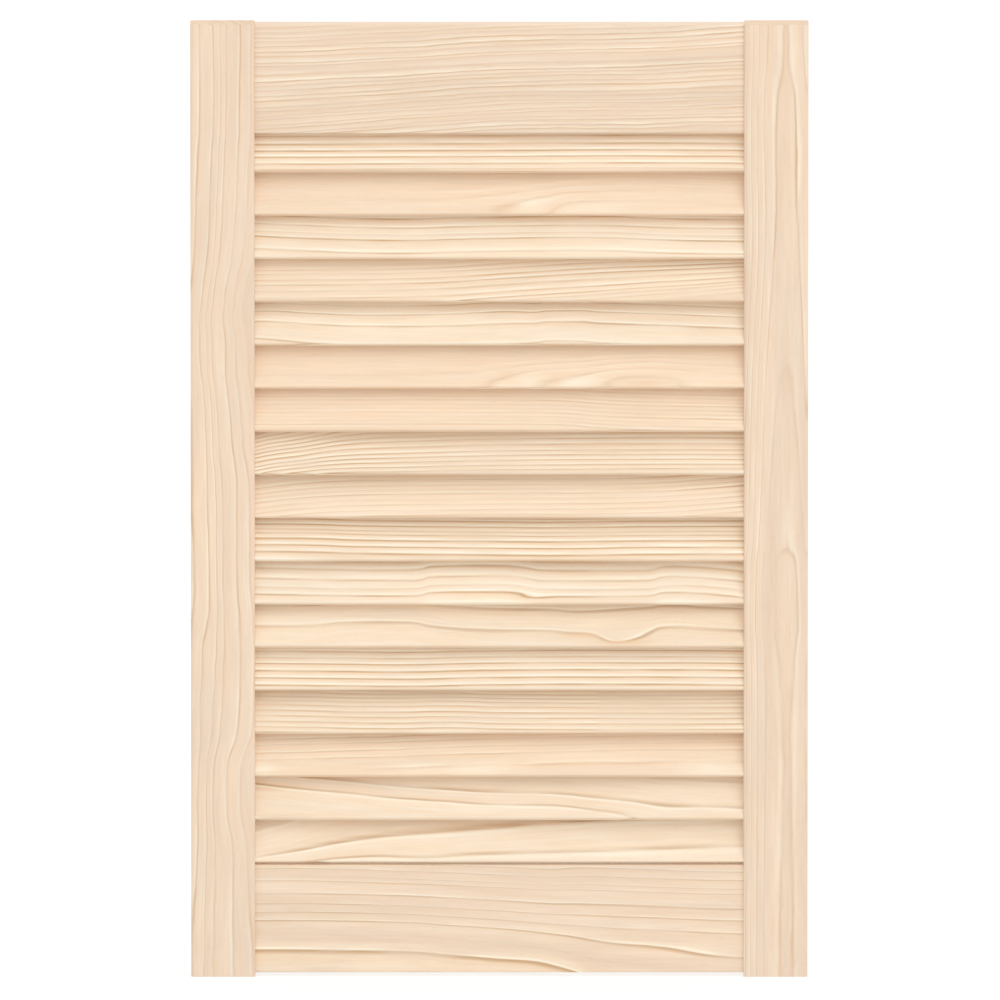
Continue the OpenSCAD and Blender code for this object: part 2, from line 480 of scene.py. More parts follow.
def make_pine_rings():
    """Colour, roughness and height of planed pine at a point, from its count of rings."""
    tree, given, result = new_group("pine_rings", [
        ("Point", VECTOR, None),
        ("Ring", FLOAT, 0),
        ("Darkness", FLOAT, 0.5),
        ("Early Share", FLOAT, 0.3),
        ("Late Share", FLOAT, 0.25),
        ("Fibre Place", FLOAT, 0),
        ("Plain", COLOUR, (0.87, 0.69, 0.51, 1)),
        ("End Grain", FLOAT, 0),
        ("Seed", FLOAT, 0),
    ], [("Color", COLOUR), ("Roughness", FLOAT), ("Height", FLOAT)])
    point, seed = given["Point"], given["Seed"]
    year = add_math(tree, "FLOOR", given["Ring"])
    part = add_math(tree, "FRACT", given["Ring"])
    chance = tree.nodes.new("ShaderNodeTexWhiteNoise")
    chance.noise_dimensions = "1D"
    feed(tree, chance.inputs["W"], add_math(tree, "ADD", year, seed))
    luck = add_range(tree, chance.outputs["Value"], 0, 1, *LATE_WIDTH_SWING)
    share = add_math(tree, "MULTIPLY", given["Late Share"], luck)
    late_from = add_math(tree, "SUBTRACT", 1, share)
    early_to = add_math(tree, "MINIMUM", given["Early Share"], late_from)
    spring = add_range(tree, part, 0, early_to, 0, EARLY_END)
    summer = add_range(tree, part, early_to, late_from, 0, LATE_START - EARLY_END)
    autumn = add_range(tree, part, late_from, 1, 0, 1 - LATE_START)
    season = add_math(tree, "ADD", add_math(tree, "ADD", spring, summer), autumn)
    year_colour = add_ramp(tree, season, RING_YEAR)

    shift = add_vector(tree, "SCALE", SEED_STEP, scale=seed)
    wave = add_noise(tree, point, DARKNESS_WAVE_MM, shift)
    fading = add_range(tree, wave, *CORE_NOISE, *DARKNESS_SWING)
    strength = add_math(tree, "MULTIPLY", given["Darkness"], fading)
    ringed = add_mix(tree, strength, given["Plain"], year_colour)

    axes = tree.nodes.new("ShaderNodeSeparateXYZ")
    feed(tree, axes.inputs[0], point)
    fibre_axes = tree.nodes.new("ShaderNodeCombineXYZ")
    fibre_places = (axes.outputs[0], axes.outputs[1], given["Fibre Place"])
    for target, source in zip(fibre_axes.inputs, fibre_places):
        feed(tree, target, source)
    along_fibres = fibre_axes.outputs[0]
    fibre = add_noise(tree, along_fibres, FIBRE_MM, shift, 1.0)
    streak = add_noise(tree, along_fibres, STREAK_MM, shift, 1.0)
    drift = add_noise(tree, along_fibres, DRIFT_MM, shift)
    fleck = add_range(tree, add_noise(tree, along_fibres, FLECK_MM, shift), *FLECK_FROM, 0, 1)
    tint = add_mix(tree, add_range(tree, streak, *STREAK_NOISE, 0, 1), COOL_TINT, WARM_TINT)
    tinted = add_mix(tree, 1.0, ringed, tint, "MULTIPLY")
    fibre_tone = add_range(tree, fibre, *MOST_NOISE, *TONE_SWING)
    drift_tone = add_range(tree, drift, *MOST_NOISE, *TONE_SWING)
    fleck_tone = add_range(tree, fleck, 0, 1, 1, FLECK_TONE)
    fine_tone = add_math(tree, "MULTIPLY", fibre_tone, fleck_tone)
    toned = add_vector(tree, "SCALE", tinted, scale=add_math(tree, "MULTIPLY", fine_tone, drift_tone))

    pores = add_noise(tree, point, PORE_MM, shift, 1.0)
    end_tone = add_range(tree, pores, *CORE_NOISE, *PORE_SWING)
    end_colour = add_mix(tree, 1.0, toned, END_TINT, "MULTIPLY")
    end_shaded = add_vector(tree, "SCALE", end_colour, scale=end_tone)
    colour = add_mix(tree, given["End Grain"], toned, end_shaded)

    late = add_math(tree, "MULTIPLY", add_range(tree, season, LATE_START, 1, 0, 1), strength)
    planed = add_range(tree, fibre, *MOST_NOISE, *PLANED_ROUGHNESS)
    ringed_planed = add_math(tree, "MULTIPLY_ADD", late, LATE_ROUGHNESS, planed)
    roughness = add_math(tree, "MULTIPLY_ADD", given["End Grain"], SAWN_ROUGHNESS, ringed_planed)
    opened = add_math(tree, "MULTIPLY", fleck, -FLECK_DEPTH_MM)
    height = add_math(tree, "MULTIPLY_ADD", fibre, FIBRE_HEIGHT_MM, opened)
    feed(tree, result["Color"], colour)
    feed(tree, result["Roughness"], roughness)
    feed(tree, result["Height"], height)
    return tree


pine_rings = make_pine_rings()
print("group:", pine_rings.name, "with", len(pine_rings.nodes), "nodes")

# %% [markdown]
# One material for each board
#
# No two boards of a door have the same rings, so each one gets its own material from one function.
# The board's own axes come first: along it, down from its face, and across it, in millimetres. The
# run of the grain is drawn as a joiner would sketch it. The rings say where the dark lines stand at
# the board's middle and how dark each one is, and past them they go on evenly as far as the board's
# reach. The rise says how far they have climbed at a place along the board, the fan where they open,
# and the fade where they grow weaker.
#
# What a few boards have besides is drawn with soft hills: a swirl pushes the lines aside, a spot
# makes them darker or weaker, a pale patch changes the plain wood between them, and a tan patch
# lies over all. Early and late are the widths of the cream and of the brown of a ring, plain is the
# tone between the lines, and straight, arch, centre, lean and wander go to the group above. In a
# board with cream_below, the rings are the other way up, with the cream under each dark line.

# %% Read a drawn line, a list of rings and a hill
def add_drawn(tree, source, drawn, handles="AUTO"):
    """The height of a drawn line, given as points of place and value, at a place."""
    drawn = np.array(sorted(drawn), dtype=float)
    places, values = drawn[:, 0], drawn[:, 1]
    if np.ptp(values) == 0:
        return float(values[0])
    x = (places - places[0]) / np.ptp(places)
    y = (values - values.min()) / np.ptp(values)
    node = tree.nodes.new("ShaderNodeFloatCurve")
    points = node.mapping.curves[0].points
    points[0].location = (x[0], y[0])
    points[1].location = (x[-1], y[-1])
    for place, value in zip(x[1:-1], y[1:-1]):
        points.new(place, value)
    for point in points:
        point.handle_type = handles
    node.mapping.update()
    feed(tree, node.inputs["Factor"], 1)
    feed(tree, node.inputs["Value"], add_range(tree, source, places[0], places[-1], 0, 1))
    return add_math(tree, "MULTIPLY_ADD", node.outputs[0], float(np.ptp(values)), float(values.min()))


def ring_lines(rings, reach):
    """The dark lines in order, with more of the same spacing until they pass the board's reach."""
    places = [place for place, darkness in rings]
    darks = [darkness for place, darkness in rings]
    spacing = (places[-1] - places[0]) / (len(places) - 1)
    while places[0] > reach[0]:
        places.insert(0, places[0] - spacing)
        darks.insert(0, min(darks))
    while places[-1] < reach[1]:
        places.append(places[-1] + spacing)
        darks.append(min(darks))
    return places, darks


def add_bump(tree, point, numbers):
    """A soft hill over a board: where it is along and across, how far it reaches, how high it is."""
    centre_along, centre_across, reach_along, reach_across, height = numbers
    return add_group(
        tree, grain_swirl,
        Point=point,
        Centre_Along=centre_along,
        Centre_Across=centre_across,
        Reach_Along=reach_along,
        Reach_Across=reach_across,
        Height=height,
    )["Push"]


print("an even list of rings, carried on:", ring_lines([(0, 0.5), (5, 0.5)], (-4, 9))[0])

# %% Build a board's material from a drawn run of its grain
MILLIMETRES = 1000
SHEEN_LEVEL = 0.3
SPRING_WOOD = (0.930, 0.820, 0.650, 1)
SUMMER_WOOD = (0.800, 0.560, 0.360, 1)
MOST_EARLY_SHARE = 0.5
MOST_LATE_SHARE = 0.3
USUAL_GRAIN = {
    "fan": [(0, 0)],
    "fade": [(0, 1)],
    "straight": 1.0,
    "arch": 0.0,
    "centre": 0.0,
    "lean": 0.5,
    "wander": 0.25,
    "early": 1.9,
    "late": 1.2,
    "cream_below": False,
    "swirls": [],
    "spots": [],
    "pale": [],
    "tan": [],
}


def pine_board(name, corner, turn, grain, seed, half_length=None):
    """Pine for one board; past its half length, where that is given, it shows end grain.

    Its face starts at a corner, and its own axes come from a turn.
    """
    grain = {**USUAL_GRAIN, **grain}
    material = bpy.data.materials.new(name)
    material.use_nodes = True
    tree = material.node_tree
    shader = tree.nodes["Principled BSDF"]
    coordinates = tree.nodes.new("ShaderNodeTexCoord")
    board_axes = tree.nodes.new("ShaderNodeMapping")
    moved = Euler(turn).to_matrix() @ (Vector(corner) * MILLIMETRES)
    board_axes.inputs["Location"].default_value = -moved
    board_axes.inputs["Rotation"].default_value = turn
    board_axes.inputs["Scale"].default_value = (MILLIMETRES, MILLIMETRES, MILLIMETRES)
    tree.links.new(coordinates.outputs["Object"], board_axes.inputs["Vector"])
    point = board_axes.outputs[0]
    split = tree.nodes.new("ShaderNodeSeparateXYZ")
    tree.links.new(point, split.inputs[0])
    along = split.outputs[0]

    run = add_group(
        tree, grain_run,
        Point=point,
        Rise=add_drawn(tree, along, grain["rise"]),
        Fan=add_drawn(tree, along, grain["fan"]),
        Straight=grain["straight"],
        Arch=grain["arch"],
        Arch_Centre=grain["centre"],
        Lean=grain["lean"],
        Wander=grain["wander"],
        Seed=seed,
    )
    place = run["Place"]
    for swirl in grain["swirls"]:
        place = add_math(tree, "ADD", place, add_bump(tree, point, swirl))

    places, darks = ring_lines(grain["rings"], grain["reach"])
    spacing = (places[-1] - places[0]) / (len(places) - 1)
    counts = np.arange(len(places), dtype=float)
    if grain["cream_below"]:
        counts = counts[::-1]
    darkness = add_math(
        tree, "MULTIPLY",
        add_drawn(tree, place, list(zip(places, darks))),
        add_drawn(tree, along, grain["fade"]),
    )
    for spot in grain["spots"]:
        darkness = add_math(tree, "MULTIPLY_ADD", add_bump(tree, point, spot), darkness, darkness)
    plain = (*grain["plain"], 1)
    for patch in grain["pale"]:
        plain = add_mix(tree, add_bump(tree, point, patch), plain, SPRING_WOOD)
    end_grain = 0
    if half_length:
        from_middle = add_math(tree, "ABSOLUTE", along)
        end_grain = add_math(tree, "GREATER_THAN", from_middle, half_length)
    rings = add_group(
        tree, pine_rings,
        Point=point,
        Ring=add_drawn(tree, place, list(zip(places, counts)), "AUTO_CLAMPED"),
        Darkness=darkness,
        Early_Share=min(MOST_EARLY_SHARE, grain["early"] / spacing),
        Late_Share=min(MOST_LATE_SHARE, grain["late"] / spacing),
        Fibre_Place=run["Fibre Place"],
        Plain=plain,
        End_Grain=end_grain,
        Seed=seed,
    )
    colour = rings["Color"]
    for patch in grain["tan"]:
        colour = add_mix(tree, add_bump(tree, point, patch), colour, SUMMER_WOOD)
    tree.links.new(colour, shader.inputs["Base Color"])
    tree.links.new(rings["Roughness"], shader.inputs["Roughness"])
    shader.inputs["Specular IOR Level"].default_value = SHEEN_LEVEL
    bump = tree.nodes.new("ShaderNodeBump")
    bump.inputs["Distance"].default_value = 1 / MILLIMETRES
    tree.links.new(rings["Height"], bump.inputs["Height"])
    tree.links.new(bump.outputs[0], shader.inputs["Normal"])
    return material


print("what a board may have drawn besides its rings and rise:", ", ".join(USUAL_GRAIN))

# %% [markdown]
# The grain of the slats
#
# The photograph was read slat by slat. Places along a slat are measured from its middle, to the
# right, and places across it upwards from its lip, which is its lower front edge. The wood has one
# of four tones.
#
# Where the saw went near the middle of the trunk, the rings stand upright in the board and draw even
# lines along it: strong ones on slats 1, 10 and 13, and finer ones on 7, 8, 9 and 14. Those of 8 and
# 9 open or bend at an end, as beside a knot.

# %% Note the slats with even lines
CREAM_PINE = (0.882, 0.741, 0.576)
PLAIN_PINE = (0.857, 0.677, 0.503)
ROSY_PINE = (0.860, 0.668, 0.490)
TAN_PINE = (0.820, 0.650, 0.480)
SLAT_REACH = (-6, 40)
EVEN_SLATS = {
    1: {
        "rings": [(1.6, 0.3), (5.1, 0.85), (9.6, 1.05), (13.6, 0.95), (18.1, 0.65), (23.3, 0.75),
                  (26.4, 0.6)],
        "rise": [(-156, -0.6), (0, 0), (64, 0.3), (156, -0.3)],
    },
    7: {
        "rings": [(1.5, 0.15), (4.1, 0.32), (6.7, 0.14), (9.3, 0.14), (12, 0.32), (14.6, 0.15),
                  (17.2, 0.15), (20, 0.32), (22.4, 0.15), (25, 0.15)],
        "rise": [(-156, 0), (0, 0), (32, -0.3), (64, -2.3), (96, -3.6), (128, -4.2), (156, -4.9)],
        "fade": [(-156, 0.9), (0, 1), (60, 1.4), (156, 1.6)],
        "plain": ROSY_PINE,
    },
    8: {
        "rings": [(2.6, 0.5), (5.5, 0.6), (8.8, 0.65), (12, 0.6), (15, 0.6), (19, 0.6), (22.8, 0.6),
                  (26, 0.5)],
        "rise": [(-156, -9.5), (-128, -4.3), (-96, -1.6), (-64, -1.3), (0, 0), (156, 0.7)],
        "fan": [(-156, 0.3), (-128, 0.25), (-96, 0.1), (-64, 0.03), (0, 0), (156, 0)],
        "fade": [(-156, 1.4), (-96, 1.3), (-40, 0.9), (156, 1)],
        "plain": TAN_PINE,
    },
    9: {
        "rings": [(1.6, 0.3), (5, 0.26), (8.6, 0.3), (12, 0.14), (15.5, 0.4), (18.4, 0.14), (21.2, 0.3),
                  (24.8, 0.4)],
        "rise": [(-156, -6.5), (-141, -4.6), (-128, -3.3), (-96, -1.3), (-64, -0.7), (0, 0), (64, 0.3),
                 (96, 1), (128, 2.9), (156, 5.2)],
        "fade": [(-156, 1.2), (-60, 1), (60, 1), (100, 1.4), (156, 2.4)],
    },
    10: {
        "rings": [(-2.8, 0.8), (3.3, 0.9), (7.7, 1.05), (12.1, 1.0), (15.7, 0.55), (18.2, 0.35),
                  (21.3, 1.15), (25, 1.1), (27, 0.7)],
        "rise": [(-156, 2.3), (-128, 2.2), (-96, 1.3), (-64, 0.7), (-32, 0.3), (0, 0), (32, -0.2),
                 (96, 0.5), (156, 0.7)],
        "plain": TAN_PINE,
    },
    13: {
        "rings": [(3.1, 1.0), (7.9, 1.1), (12.7, 1.2), (17.2, 1.0), (21.3, 0.5), (25.3, 0.8)],
        "rise": [(-156, -0.2), (-96, -0.7), (-64, -1), (-32, -0.5), (0, 0), (64, 0.3), (156, -0.2)],
        "plain": CREAM_PINE,
    },
    14: {
        "rings": [(2.3, 0.6), (5.9, 0.6), (9.5, 0.6), (13, 0.6), (16.6, 0.52), (19.6, 0.52),
                  (22.2, 0.52), (24.8, 0.52)],
        "rise": [(-156, 1.7), (-122, 1.3), (-64, 0.3), (-38, 0.8), (0, -0.1), (56, -0.3), (156, -0.2)],
        "fade": [(-156, 0.4), (-120, 0.8), (-60, 1.1), (0, 1.1), (56, 1.2), (66, 0.5), (88, 0.45),
                 (104, 0.85), (156, 0.85)],
        "plain": TAN_PINE,
    },
}
print("slats with even lines:", sorted(EVEN_SLATS))

# %% [markdown]
# Slats cut flat
#
# A board from the outer part of the trunk runs flat along its rings. It shows soft arches with pale
# wood between them, as on slats 2 and 6, or hardly any line at all, as on slat 15, which has a few
# pale patches near its lip.

# %% Note the slats that were cut flat
FLAT_SLATS = {
    2: {
        "rings": [(-8, 0.15), (-3, 0.15), (2, 0.2), (7, 0.2)],
        "straight": 0.1,
        "arch": -0.035,
        "centre": -1,
        "rise": [(-156, 1), (-30, 0), (0, -2), (30, -6), (60, -9), (156, -8)],
        "fade": [(-156, 0.6), (-60, 0.7), (0, 1.2), (60, 1), (90, 0.5), (156, 0.4)],
        "pale": [(22, 6, 10, 5, 0.6), (62, 6, 20, 6, 0.3)],
        "tan": [(6, 3.5, 8, 3, 0.45), (35, 2.5, 6, 2.5, 0.35)],
        "early": 2.6,
        "wander": 0.8,
        "plain": ROSY_PINE,
    },
    6: {
        "rings": [(-8, 0.12), (-3, 0.15), (2, 0.24), (7, 0.24), (12, 0.24)],
        "straight": 0.1,
        "arch": -0.05,
        "centre": 0,
        "rise": [(-156, 1), (-25, 0), (-4, -2), (30, -7), (50, -8.5), (70, -11.7), (80, -12.6),
                 (95, -13), (110, -12.4), (118, -11.6), (156, -9)],
        "fade": [(-156, 0.5), (-30, 0.7), (0, 1.2), (60, 1.1), (110, 1), (130, 0.5), (156, 0.4)],
        "pale": [(20, 3, 11, 4, 0.8), (53, 3, 15, 4, 0.8), (122, 2, 14, 3, 0.5)],
        "tan": [(6, 6, 8, 4, 0.4), (36, 4.5, 5, 4, 0.4), (92, 2.5, 19, 2.4, 0.6)],
        "early": 2.4,
        "wander": 0.7,
        "plain": ROSY_PINE,
    },
    15: {
        "rings": [(-9, 0.1), (3.4, 0.5), (11.2, 0.45), (15.9, 0.3), (20.7, 0.45), (24.3, 0.5)],
        "rise": [(-156, -1.2), (-114, 0.1), (-80, 0.9), (-45, 2.1), (0, 3.7), (53, 5), (156, 6)],
        "pale": [(-151, 3.5, 8, 4.5, 0.8), (-54, 4, 15, 4, 0.5), (-14, 4, 25, 4.5, 0.6),
                 (137, 4, 20, 5, 0.65)],
        "spots": [(100, 22, 90, 11, -0.6), (-110, 16, 50, 8, 0.5), (-110, 4, 60, 6, -1),
                  (-5, 6, 38, 5, -0.95), (128, 7, 30, 6, -1)],
        "wander": 0.6,
        "plain": ROSY_PINE,
    },
}
print("slats cut flat:", sorted(FLAT_SLATS))

# %% [markdown]
# Slats with wandering lines
#
# Rings bend round every branch that the tree had. These four slats are cream wood with a few clear
# lines that rise, dip or draw together on their way. Slat 12 has the deepest dip, and slat 11 the
# steps where a line jumps up and comes down again.

# %% Note the slats with wandering lines
WANDERING_SLATS = {
    3: {
        "rings": [(3.6, 0.72), (12.1, 0.9), (15.4, 0.3), (20.2, 0.65), (26.1, 0.9)],
        "rise": [(-156, 2.3), (-114, 0.4), (-80, -0.7), (-60, -0.9), (-32, -0.2), (0, 0.5), (32, 1),
                 (52, 1.1), (96, -0.2), (128, -1), (156, -1.3)],
        "plain": CREAM_PINE,
    },
    5: {
        "rings": [(-0.7, 0.55), (12.8, 0.7), (20.4, 0.8), (26.7, 0.5)],
        "rise": [(-156, 5.5), (-135, 3.2), (-115, 1.2), (-77, -0.4), (-32, 0), (0, 0.7), (24, 1.9),
                 (32, 2.9), (48, 2.8), (64, 1.4), (96, 0.1), (153, -2)],
        "fan": [(-156, 0.23), (-115, 0.09), (-77, 0.06), (-32, 0.04), (0, 0), (32, 0.08), (64, 0.035),
                (96, 0.03), (153, 0.05)],
        "spots": [(35, 21, 55, 4, 1.4)],
        "plain": CREAM_PINE,
    },
    11: {
        "rings": [(-3.2, 0.6), (4.6, 0.8), (9.2, 0.28), (14.9, 0.5), (21.7, 0.75), (27, 0.4)],
        "rise": [(-156, 1.4), (-128, 0.8), (-80, 0), (-57, 0), (-45, 2), (-32, 2.6), (0, 2.9),
                 (8, 2.6), (20, 0.9), (32, -0.2), (90, 0), (100, 1), (110, 2.3), (122, 2), (141, 0.7),
                 (156, -1)],
        "swirls": [(17, 3.4, 12, 2.2, 1.8)],
        "spots": [(17, 5.0, 13, 3.5, 1.4)],
        "early": 3,
        "late": 1.5,
        "plain": CREAM_PINE,
    },
    12: {
        "rings": [(-12, 0.1), (10.7, 0.72), (24.8, 0.6), (38, 0.3)],
        "rise": [(-156, 2.9), (-128, 2.9), (-96, 4.9), (-64, 5.2), (-45, 3.1), (-32, 1.6), (0, 0),
                 (32, -0.5), (52, -1.8), (66, -1.2), (84, 0), (97, 0.8), (108, 2.1), (128, 1.3),
                 (156, -0.1)],
        "swirls": [(73, 4.5, 11, 8, 6.3), (87, 5.5, 12, 8, 4.6)],
        "spots": [(82, 3, 16, 5, 0.6), (-110, 14, 50, 6, -0.3)],
        "tan": [(55, 7, 13, 2.4, 0.55), (79, 2.4, 15, 2, 0.75), (133, 11.8, 28, 1.3, 0.45)],
        "early": 2.2,
        "late": 2.8,
        "plain": CREAM_PINE,
    },
}
print("slats with wandering lines:", sorted(WANDERING_SLATS))

# %% [markdown]
# Slats that cross their rings
#
# A trunk is never quite straight, so now and then the saw crosses its rings at a slant. The lines
# then leave the board over its lip or its upper edge. On slat 4 they climb to the right, on slat 16
# they fall to the right, and on slat 17 a broad brown band climbs until slat 16 hides it.

# %% Note the slats whose lines slant
SLANTING_SLATS = {
    4: {
        "rings": [(-3, 0.15), (0, 0.15), (2.4, 0.45), (5.8, 0.42), (10.3, 0.25), (14.4, 0.5),
                  (17.6, 0.4), (21.3, 0.25), (24, 0.4)],
        "rise": [(-156, -4.2), (-96, -4), (-64, -3.5), (-38, -2.6), (0, 0), (32, 2.2), (64, 4.5),
                 (96, 7.4), (128, 10.5), (153, 14.1)],
        "fan": [(-156, 0), (32, 0), (64, 0.03), (96, 0.1), (128, 0.18), (153, 0.28)],
        "fade": [(-156, 0.7), (-60, 1), (0, 1.5), (156, 1.9)],
    },
    16: {
        "rings": [(-12, 0.1), (9.3, 0.68), (17.2, 0.66), (34, 0.2)],
        "cream_below": True,
        "rise": [(-156, 13), (-128, 9.8), (-96, 6.9), (-64, 3.6), (-32, 1.4), (-12, 0), (0, -0.4),
                 (26, -0.9), (39, -1.5), (58, -3.6), (71, -4.8), (84, -6.1), (97, -7.9), (110, -8.9),
                 (129, -9.6), (156, -11.1)],
        "swirls": [(104, 0, 26, 6, 4.5)],
        "spots": [(-156, 26, 60, 10, 0.4)],
        "tan": [(67, 4.4, 13, 1.3, 0.5), (-150, 19.5, 20, 1.3, 0.4)],
        "early": 2.4,
        "late": 2.8,
        "plain": CREAM_PINE,
    },
    17: {
        "rings": [(4.4, 0.56), (22.5, 0.76), (74, 0.6)],
        "cream_below": True,
        "rise": [(-156, -17.2), (-147, -12), (-128, -6.3), (-114, -3.3), (-100, -0.9), (-80, 0.1),
                 (-64, -0.9), (-47, -1.7), (-30, -0.6), (-14, 0.5), (0, 0.6), (20, 0.8), (53, 1.3),
                 (86, 2.1), (120, 3.1), (156, 4.3)],
        "fan": [(-156, 1.9), (-147, 1.8), (-128, 1.35), (-114, 0.99), (-80, 0.47), (-64, 0.27),
                (-47, 0.13), (-14, 0.11), (20, -0.02), (53, -0.08), (156, -0.1)],
        "fade": [(-156, 0.6), (-130, 0.9), (-114, 1.1), (-80, 1.1), (-47, 0.9), (0, 1), (156, 1)],
        "tan": [(-35, 19.3, 22, 1.2, 0.4), (0, 22.2, 24, 1.3, 0.55), (30, 24.6, 20, 1.3, 0.5)],
        "early": 5.5,
        "late": 6,
        "plain": CREAM_PINE,
    },
}
SLAT_GRAIN = {**EVEN_SLATS, **FLAT_SLATS, **WANDERING_SLATS, **SLANTING_SLATS}
print("slats with a drawn grain:", len(SLAT_GRAIN))

# %% [markdown]
# Boards as surfaces
#
# A planer leaves a board with a flat face and slightly eased edges. Each board here is one closed
# surface: the outline of its section, with an arc at each corner, is carried along its length, and
# drawn in a little at both ends. Beside each arc the outline has one close point more, so that the
# shading stays flat over the face and turns only at the edge. A real slat is never quite straight,
# so the section also strays by a tenth of a millimetre on its way.

# %% Round the corners of a section
ARC_STEPS = 8
SUPPORT = 0.0004


def eased_outline(corners, radii):
    """Closed outline through rounded corners: arc k is centre + radius * (cos a * p + sin a * q)."""
    corners = np.array(corners, dtype=float)
    pieces = []
    for k, (corner, radius) in enumerate(zip(corners, radii)):
        to_last = corners[k - 1] - corner
        to_next = corners[(k + 1) % len(corners)] - corner
        to_last /= np.linalg.norm(to_last)
        to_next /= np.linalg.norm(to_next)
        half_angle = math.acos(to_last @ to_next) / 2
        tangent = radius / math.tan(half_angle)
        bisector = (to_last + to_next) / np.linalg.norm(to_last + to_next)
        centre = corner + bisector * radius / math.sin(half_angle)
        first = (corner + to_last * tangent - centre) / radius
        last = (corner + to_next * tangent - centre) / radius
        sweep = math.pi - 2 * half_angle
        square = (last - first * math.cos(sweep)) / math.sin(sweep)
        angle = np.linspace(0, sweep, ARC_STEPS + 1)[:, None]
        arc = centre + radius * (np.cos(angle) * first + np.sin(angle) * square)
        pieces.append(corner + to_last * (tangent + SUPPORT))
        pieces.extend(arc)
        pieces.append(corner + to_next * (tangent + SUPPORT))
    return np.array(pieces)


print("points at each corner of a section:", ARC_STEPS + 3)

# %% Carry a section along a board
END_EASE = 0.0001
SHARP_ANGLE = math.radians(35)
DEPTH_WAVE = 0.047
WIDTH_WAVE = 0.071
WIDTH_LAG = 2.3


def board_surface(name, outline, place_section, half_length, steps, stray=0.0, phase=0.0):
    """Surface p(s, t) = section(t) at x(s), moved by stray * (1 - x^2 / half^2) * wave(x)."""
    middle = outline.mean(axis=0)
    x = np.concatenate([
        [-half_length],
        np.linspace(-half_length + END_EASE, half_length - END_EASE, steps),
        [half_length],
    ])
    inset = np.zeros_like(x)
    inset[[0, -1]] = END_EASE
    from_middle = outline - middle
    reach = np.linalg.norm(from_middle, axis=1)
    shrink = 1 - inset[:, None] / reach[None, :]
    section = middle + from_middle[None, :, :] * shrink[:, :, None]
    hold = 1 - (x / half_length) ** 2
    section[:, :, 0] += (stray * hold * np.sin(x / DEPTH_WAVE + phase))[:, None]
    section[:, :, 1] += (stray * hold * np.sin(x / WIDTH_WAVE + WIDTH_LAG * phase))[:, None]
    y, z = place_section(section[:, :, 0], section[:, :, 1])
    rings = np.stack([np.broadcast_to(x[:, None], y.shape), y, z], axis=-1)
    count, around = y.shape
    end_points = np.stack([rings[0].mean(axis=0), rings[-1].mean(axis=0)])
    vertices = np.concatenate([rings.reshape(-1, 3), end_points])

    s, t = np.meshgrid(np.arange(count - 1), np.arange(around), indexing="ij")
    t_next = (t + 1) % around
    quads = np.stack([
        s * around + t, s * around + t_next, (s + 1) * around + t_next, (s + 1) * around + t,
    ], axis=-1).reshape(-1, 4)
    t = np.arange(around)
    t_next = (t + 1) % around
    last = (count - 1) * around
    first_cap = np.stack([np.full(around, count * around), t_next, t], axis=-1)
    last_cap = np.stack([np.full(around, count * around + 1), last + t, last + t_next], axis=-1)
    mesh = bpy.data.meshes.new(name)
    mesh.from_pydata(vertices.tolist(), [], quads.tolist() + first_cap.tolist() + last_cap.tolist())
    mesh.shade_smooth()
    mesh.set_sharp_from_angle(angle=SHARP_ANGLE)
    board = bpy.data.objects.new(name, mesh)
    bpy.context.scene.collection.objects.link(board)
    return board


def node_box(node):
    """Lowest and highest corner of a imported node."""
    low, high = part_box(node)
    return Vector(low), Vector(high)


slat_low, slat_high = node_box("slat_01")
print("box of one slat in millimetres:", [round(1000 * side, 1) for side in slat_high - slat_low])

# %% [markdown]
# The slats
#
# Each slat is planed to 34 by 6 mm with a 1 mm ease on its edges, and leans by 22 degrees with its
# lower edge to the front, so that a look straight in stops at the wood and air still passes. Its
# section is drawn flat, as depth and width, and then turned by that lean about the slat's middle.

# %% Make the slats
SLAT_WIDTH = 0.034
SLAT_THICKNESS = 0.006
SLAT_EASE = 0.001
SLAT_LEAN = math.radians(22)
SLAT_STEPS = 70
SLAT_STRAY = 0.0001
STRAY_PHASE = 1.7

lean_turn = (SLAT_LEAN, 0, 0)
lean_back = Euler(lean_turn).to_matrix().transposed()
slat_outline = eased_outline(
    [(0, 0), (SLAT_THICKNESS, 0), (SLAT_THICKNESS, SLAT_WIDTH), (0, SLAT_WIDTH)],
    [SLAT_EASE] * 4,
)


def slat_corner(middle):
    """Where a slat's face would meet its lower edge, at the middle of its length."""
    return middle + lean_back @ Vector((0, -SLAT_THICKNESS / 2, -SLAT_WIDTH / 2))


def make_slat(number):
    """One slat as a leaning board with its own grain."""
    node = f"slat_{number:02d}"
    low, high = node_box(node)
    corner = slat_corner((low + high) / 2)

    def lean(depth, across):
        """Depth and width turned into the door's depth and height."""
        y = corner.y + depth * math.cos(SLAT_LEAN) + across * math.sin(SLAT_LEAN)
        z = corner.z - depth * math.sin(SLAT_LEAN) + across * math.cos(SLAT_LEAN)
        return y, z

    slat = board_surface(
        f"slat_board_{number:02d}", slat_outline, lean, (high.x - low.x) / 2, SLAT_STEPS,
        stray=SLAT_STRAY, phase=STRAY_PHASE * number,
    )
    grain = {"plain": PLAIN_PINE, "reach": SLAT_REACH, **SLAT_GRAIN[number]}
    slat.data.materials.append(pine_board(f"slat_pine_{number:02d}", corner, lean_turn, grain, number))
    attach(slat, "root")
    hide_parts(node)
    return slat


slats = [make_slat(number) for number in sorted(SLAT_GRAIN)]
print("slats:", len(slats), "with", len(slats[0].data.polygons), "faces each")

# %% [markdown]
# The rails
#
# The rails are thinner than the stiles and sit in the middle of them. The top rail also has a
# slanted rebate along its lower back edge, which the upper edge of the highest slat goes into, so
# its section has six corners. Its rings are narrow and climb to the right. The bottom rail was cut
# flatter, with wide rings that fall to the right and one broad brown band that ends in a point.

